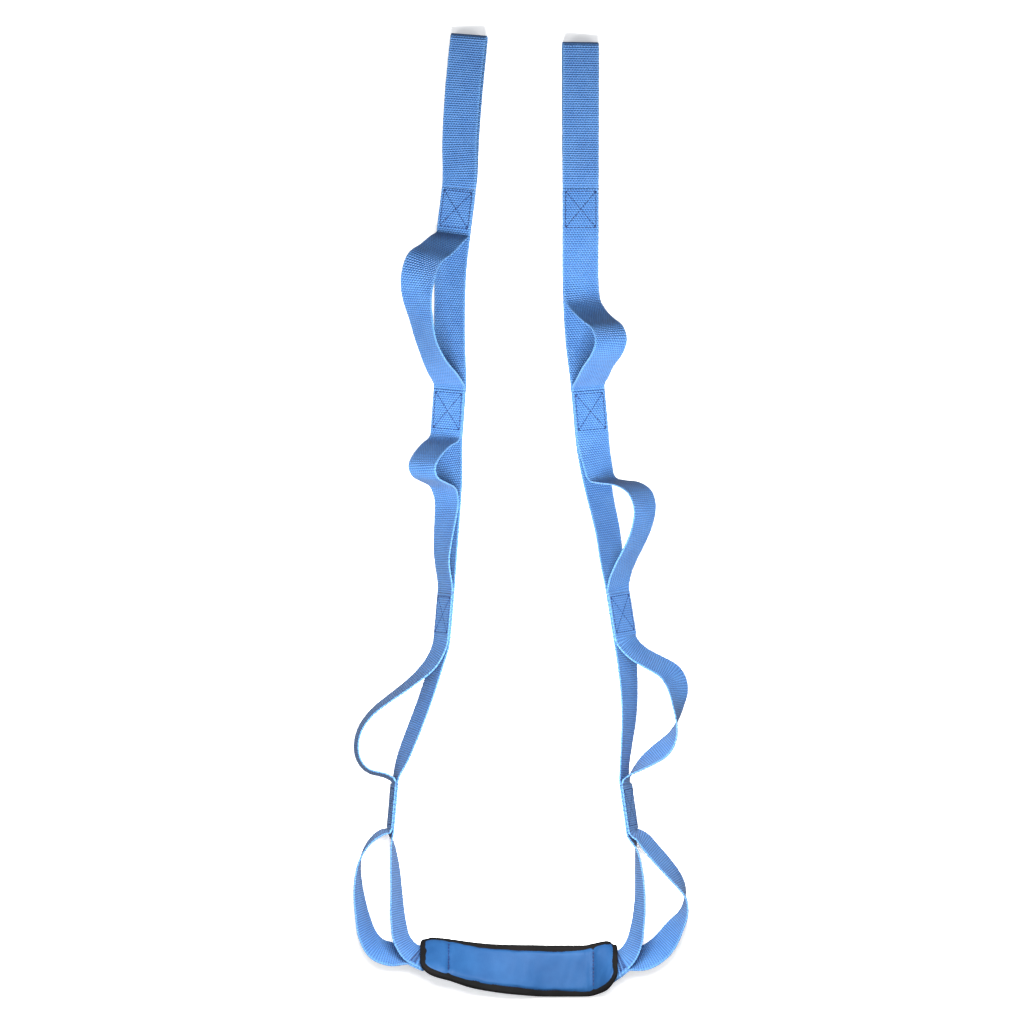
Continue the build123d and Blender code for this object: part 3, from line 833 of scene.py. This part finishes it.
def make_pad(pad):
    """The stuffed pad: swollen flat, then seamed, creased and laid along the strap."""
    body = pad_blank()
    remesh = body.modifiers.new("Voxels", "REMESH")
    remesh.mode = "VOXEL"
    remesh.voxel_size = PAD_VOXEL * MM
    dg = bpy.context.evaluated_depsgraph_get()
    body.data = bpy.data.meshes.new_from_object(body.evaluated_get(dg))
    body.modifiers.clear()
    puffed(body)
    smooth = body.modifiers.new("Fine", "SUBSURF")
    smooth.levels = 1
    dg = bpy.context.evaluated_depsgraph_get()
    body.data = bpy.data.meshes.new_from_object(body.evaluated_get(dg))
    body.modifiers.clear()
    low, high = PAD_LEFT_END + PAD_END_MARGIN, PAD_RIGHT_END - PAD_END_MARGIN
    for vertex in body.data.vertices:
        x, across, height = vertex.co / MM
        x = min(max(x, low), high)
        half = half_width(x, PAD_SIDE_MARGIN)
        across = min(max(across, -half), half)
        height = max(height, PAD_UNDERSIDE)
        if height > PAD_FLOOR + 2:
            rim = min((half - abs(across)) / PAD_HEM, 1.0)
            height += (cover_wrinkle(x, across) - seam_press(x, across)) * rim
        vertex.co = pad.place(x, across, height) * MM
    body.data.shade_smooth()
    body.data.materials.clear()
    body.data.materials.append(pad_nylon)
    return body


def outline():
    """The pad's closed outline as (x, across, outward x, outward across, share of the way into an end)."""
    half = PAD_WIDTH / 2
    radius = PAD_CORNER_RADIUS
    left, right = PAD_LEFT_END + radius, PAD_RIGHT_END - radius
    rows = []
    steps = round((right - left) / 3)
    for k in range(steps):
        rows.append((left + (right - left) * k / steps, half, 0.0, 1.0, 0.0))
    for centre, first in ((right, 90), (left, 270)):
        side = 1 if centre == right else -1
        for step in range(0, 90, 9):
            angle = radians(first - step)
            rows.append(corner(centre, half - radius, angle, side, step / 90))
        for k in range(9):
            across = (half - radius) * (1 - 2 * k / 9) * side
            rows.append((centre + radius * side, across, float(side), 0.0, 1.0))
        for step in range(0, 90, 9):
            angle = radians(first - 90 - step)
            rows.append(corner(centre, -(half - radius), angle, side, 1 - step / 90))
        if centre == right:
            for k in range(steps):
                rows.append((right - (right - left) * k / steps, -half, 0.0, -1.0, 0.0))
    return rows


def corner(centre, middle, angle, side, into_end):
    """An outline row on one of the pad's rounded corners."""
    out_x, out_v = cos(angle), sin(angle)
    across = middle * side + PAD_CORNER_RADIUS * out_v
    return centre + PAD_CORNER_RADIUS * out_x, across, out_x, out_v, into_end


def swept(name, pad, section, paint):
    """A closed band round the pad's outline. section gives its (inset, height) corners at a numbered row."""
    verts = []
    rows = outline()
    count = 0
    for i, row in enumerate(rows):
        x, across, out_x, out_v, _ = row
        corners = section(row, i)
        count = len(corners)
        for inset, height in corners:
            verts.append(pad.place(x - out_x * inset, across - out_v * inset, height))
    faces = []
    total = len(rows)
    for i in range(total):
        for k in range(count):
            a, b = i * count + k, i * count + (k + 1) % count
            c, d = (i + 1) % total * count + (k + 1) % count, (i + 1) % total * count + k
            faces.append((a, d, c, b))
    obj = new_mesh(name, verts, faces)
    obj.data.materials.append(paint)
    return obj


def tape_width(into_end):
    """How far the binding reaches in over the pad."""
    return TAPE_SIDE_WIDTH + (TAPE_END_WIDTH - TAPE_SIDE_WIDTH) * into_end


def tape_puff(number):
    """How much higher the binding stands at one of the outline's rows."""
    return noise.noise(Vector((number * 0.31, 5.0, 0))) * 0.25


def tape_section(row, number):
    """The binding folded over the pad's edge, a little uneven along its run."""
    uneven = noise.noise(Vector((number * 0.23, 2.0, 0))) * 0.5
    width = tape_width(row[4]) + uneven
    top = PAD_EDGE_TOP + 0.7 + tape_puff(number)
    low = PAD_UNDERSIDE
    outside = [(width, low), (0.3, low), (-0.6, low + 0.7), (-1.0, (top + low) / 2), (-0.6, top - 0.5)]
    outside += [(0.6, top + 0.35), (width * 0.5, top + 0.75), (width - 0.4, top + 0.95), (width, top + 0.6)]
    inside = [(width - 0.2, top + 0.1), (width * 0.5, top - 0.1), (0.2, top - 0.6)]
    inside += [(0.2, low + 0.8), (width, low + 0.8)]
    return outside + inside


def on_tape(pad, row, number):
    """A point on top of the binding, just outside its inner edge."""
    x, across, out_x, out_v, into_end = row
    inset = tape_width(into_end) - TAPE_THREAD_INSET
    height = PAD_EDGE_TOP + TAPE_THREAD_LIFT + tape_puff(number)
    return pad.place(x - out_x * inset, across - out_v * inset, height)


def tape_stitches(pad):
    """One row of stitches round the binding near its inner edge."""
    rows = outline()
    runs = []
    for i, row in enumerate(rows):
        start = on_tape(pad, row, i)
        end = on_tape(pad, rows[(i + 1) % len(rows)], i + 1)
        if (end - start).length > 1.2:
            _, _, outward = pad.frame(row[0])
            way = (end - start) * 0.1
            runs.append((start + way, end - way, -outward.normalized()))
    obj = thread_beads("pad_binding_thread", runs)
    obj.data.materials[0] = thread_black
    return obj


def seam_stitches(pad):
    """The thread of the two cross seams, down in the grooves that they press."""
    runs = []
    reach = PAD_WIDTH / 2 - PAD_HEM
    for seam in CROSS_SEAMS:
        count = round(2 * reach / STITCH_PITCH)
        for k in range(count):
            ends = []
            for share in (k + 0.08, k + 0.92):
                across = -reach + 2 * reach * share / count
                rim = min((PAD_WIDTH / 2 - abs(across)) / PAD_HEM, 1.0)
                height = PAD_MIDDLE_TOP + SEAM_LIFT - seam_press(seam, across) * rim * 0.7
                ends.append(pad.place(seam, across, height))
            _, _, outward = pad.frame(seam)
            runs.append((ends[0], ends[1], -outward.normalized()))
    return thread_beads("pad_seam_thread", runs, SEAM_THREAD_WIDTH)


left_blocks = [Block(*row, -1) for row in LEFT_BLOCKS]
right_blocks = [Block(*row, 1) for row in RIGHT_BLOCKS]
centre = centre_samples(left_blocks[0], right_blocks[0])
pad = Pad(centre)
ends = sewn_samples(left_blocks[0], 0.0)[::-1], sewn_samples(right_blocks[0], 0.0)
strap = ribbon("centre_strap", frames([*ends[0], *centre, *ends[1]]), 1.0)
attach(strap, "pad")
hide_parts("base_strap_centre")

body = make_pad(pad)
tape = swept("pad_tape", pad, tape_section, binding_black)
tape_thread = tape_stitches(pad)
seam_thread = seam_stitches(pad)
for piece, nodes in (
    (body, ("pad_back_cover", "pad_foam", "pad_face_cover")),
    (tape, ("pad_binding",)),
    (tape_thread, ("pad_binding_stitch",)),
    (seam_thread, ("pad_cross_seams",)),
):
    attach(piece, "pad")
    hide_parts(*nodes)

arms = {
    "left": (-1, left_blocks, LEFT_BASE, LEFT_LOOPS, LEFT_HAND),
    "right": (1, right_blocks, RIGHT_BASE, RIGHT_LOOPS, RIGHT_HAND),
}
for side, (turn, blocks, base_rows, loop_rows, hand_rows) in arms.items():
    chain = ["pad", f"{side}_span_2", f"{side}_span_3", f"{side}_span_4", f"{side}_hand"]
    loop = first_loop(f"{side}_slack_1", loop_rows[1], pad, LOOP_TAIL[side], blocks[0], turn, turn * 3.0)
    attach(loop, "pad")
    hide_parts(f"{side}_loop_1")
    tack = bar_tack(f"{side}_zigzag", pad, BAR_TACKS[side])
    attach(tack, "pad")
    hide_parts(f"{side}_bar_tack")
    for k in (2, 3, 4):
        first, last = blocks[k - 2], blocks[k - 1]
        base = base_span(f"{side}_strap_{k}", base_rows[k], first, last, turn, turn * 11.0 + k)
        loop = loop_span(f"{side}_slack_{k}", loop_rows[k], first, last, turn, k == 2, turn * 17.0 + k)
        for piece, replaced in ((base, f"{side}_base_strap_{k}"), (loop, f"{side}_loop_{k}")):
            fold_start = first.at(EDGE) * MM
            fold_end = first.at(EDGE + FOLD_BLEND) * MM
            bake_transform(piece)
            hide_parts(replaced)
    hand = hand_loop(f"{side}_hand_strap", hand_rows, blocks[3], turn, turn * 23.0)
    blocks[3].at(EDGE) * MM
    blocks[3].at(EDGE + FOLD_BLEND) * MM
    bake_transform(hand)
    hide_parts(f"{side}_hand_loop")
    for k, block in enumerate(blocks, 1):
        stitch = box_stitch(f"{side}_box_x_{k}", block, turn * 31.0 + k)
        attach(stitch, chain[k - 1])
        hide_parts(f"{side}_box_stitch_{k}")


# Stage


def area_light(name, place, aim, size, power):
    """A square softbox at place, turned towards aim."""
    data = bpy.data.lights.new(name, "AREA")
    data.shape = "SQUARE"
    data.size = size
    data.energy = power
    obj = bpy.data.objects.new(name, data)
    obj.location = place
    obj.rotation_mode = "QUATERNION"
    obj.rotation_quaternion = (Vector(aim) - Vector(place)).to_track_quat("-Z", "Y")
    bpy.context.scene.collection.objects.link(obj)


FRAME_WIDTH = 1.0752
FRAME_CENTRE = (-0.0567, 0.4817)
CAMERA_HEIGHT = 12.0
SENSOR = 36.0
camera_data = bpy.data.cameras.new("camera")
camera_data.sensor_width = SENSOR
camera_data.lens = SENSOR * CAMERA_HEIGHT / FRAME_WIDTH
camera_data.clip_end = 100.0
camera = bpy.data.objects.new("camera", camera_data)
camera.location = (*FRAME_CENTRE, CAMERA_HEIGHT)
bpy.context.scene.collection.objects.link(camera)
bpy.context.scene.camera = camera

floor_mesh = bpy.data.meshes.new("floor")
reach = 8.0
corners = [(-reach, -reach, 0), (reach, -reach, 0), (reach, reach, 0), (-reach, reach, 0)]
floor_mesh.from_pydata(corners, [], [(0, 1, 2, 3)])
floor = bpy.data.objects.new("floor", floor_mesh)
bpy.context.scene.collection.objects.link(floor)
floor_paint, _, floor_shader = material("floor", 0.9)
floor_shader.inputs["Base Color"].default_value = (0.95, 0.95, 0.95, 1)
floor_shader.inputs["Emission Color"].default_value = (1, 1, 1, 1)
floor_shader.inputs["Emission Strength"].default_value = 0.35
floor_mesh.materials.append(floor_paint)
floor.visible_diffuse = False
floor.visible_glossy = False

bpy.context.scene.view_settings.view_transform = "Standard"
world = bpy.data.worlds.new("studio")
bpy.context.scene.world = world
world.use_nodes = True
world.node_tree.nodes["Background"].inputs[0].default_value = (0.95, 0.97, 1.0, 1)
world.node_tree.nodes["Background"].inputs[1].default_value = 0.35
area_light("key", (-0.05, 0.33, 0.7), (-0.05, 0.33, 0), 0.4, 18)
area_light("right", (1.25, 0.2, 1.0), (0.0, 0.25, 0), 0.7, 10)
area_light("left", (-1.35, 0.2, 1.0), (-0.1, 0.25, 0), 0.7, 10)
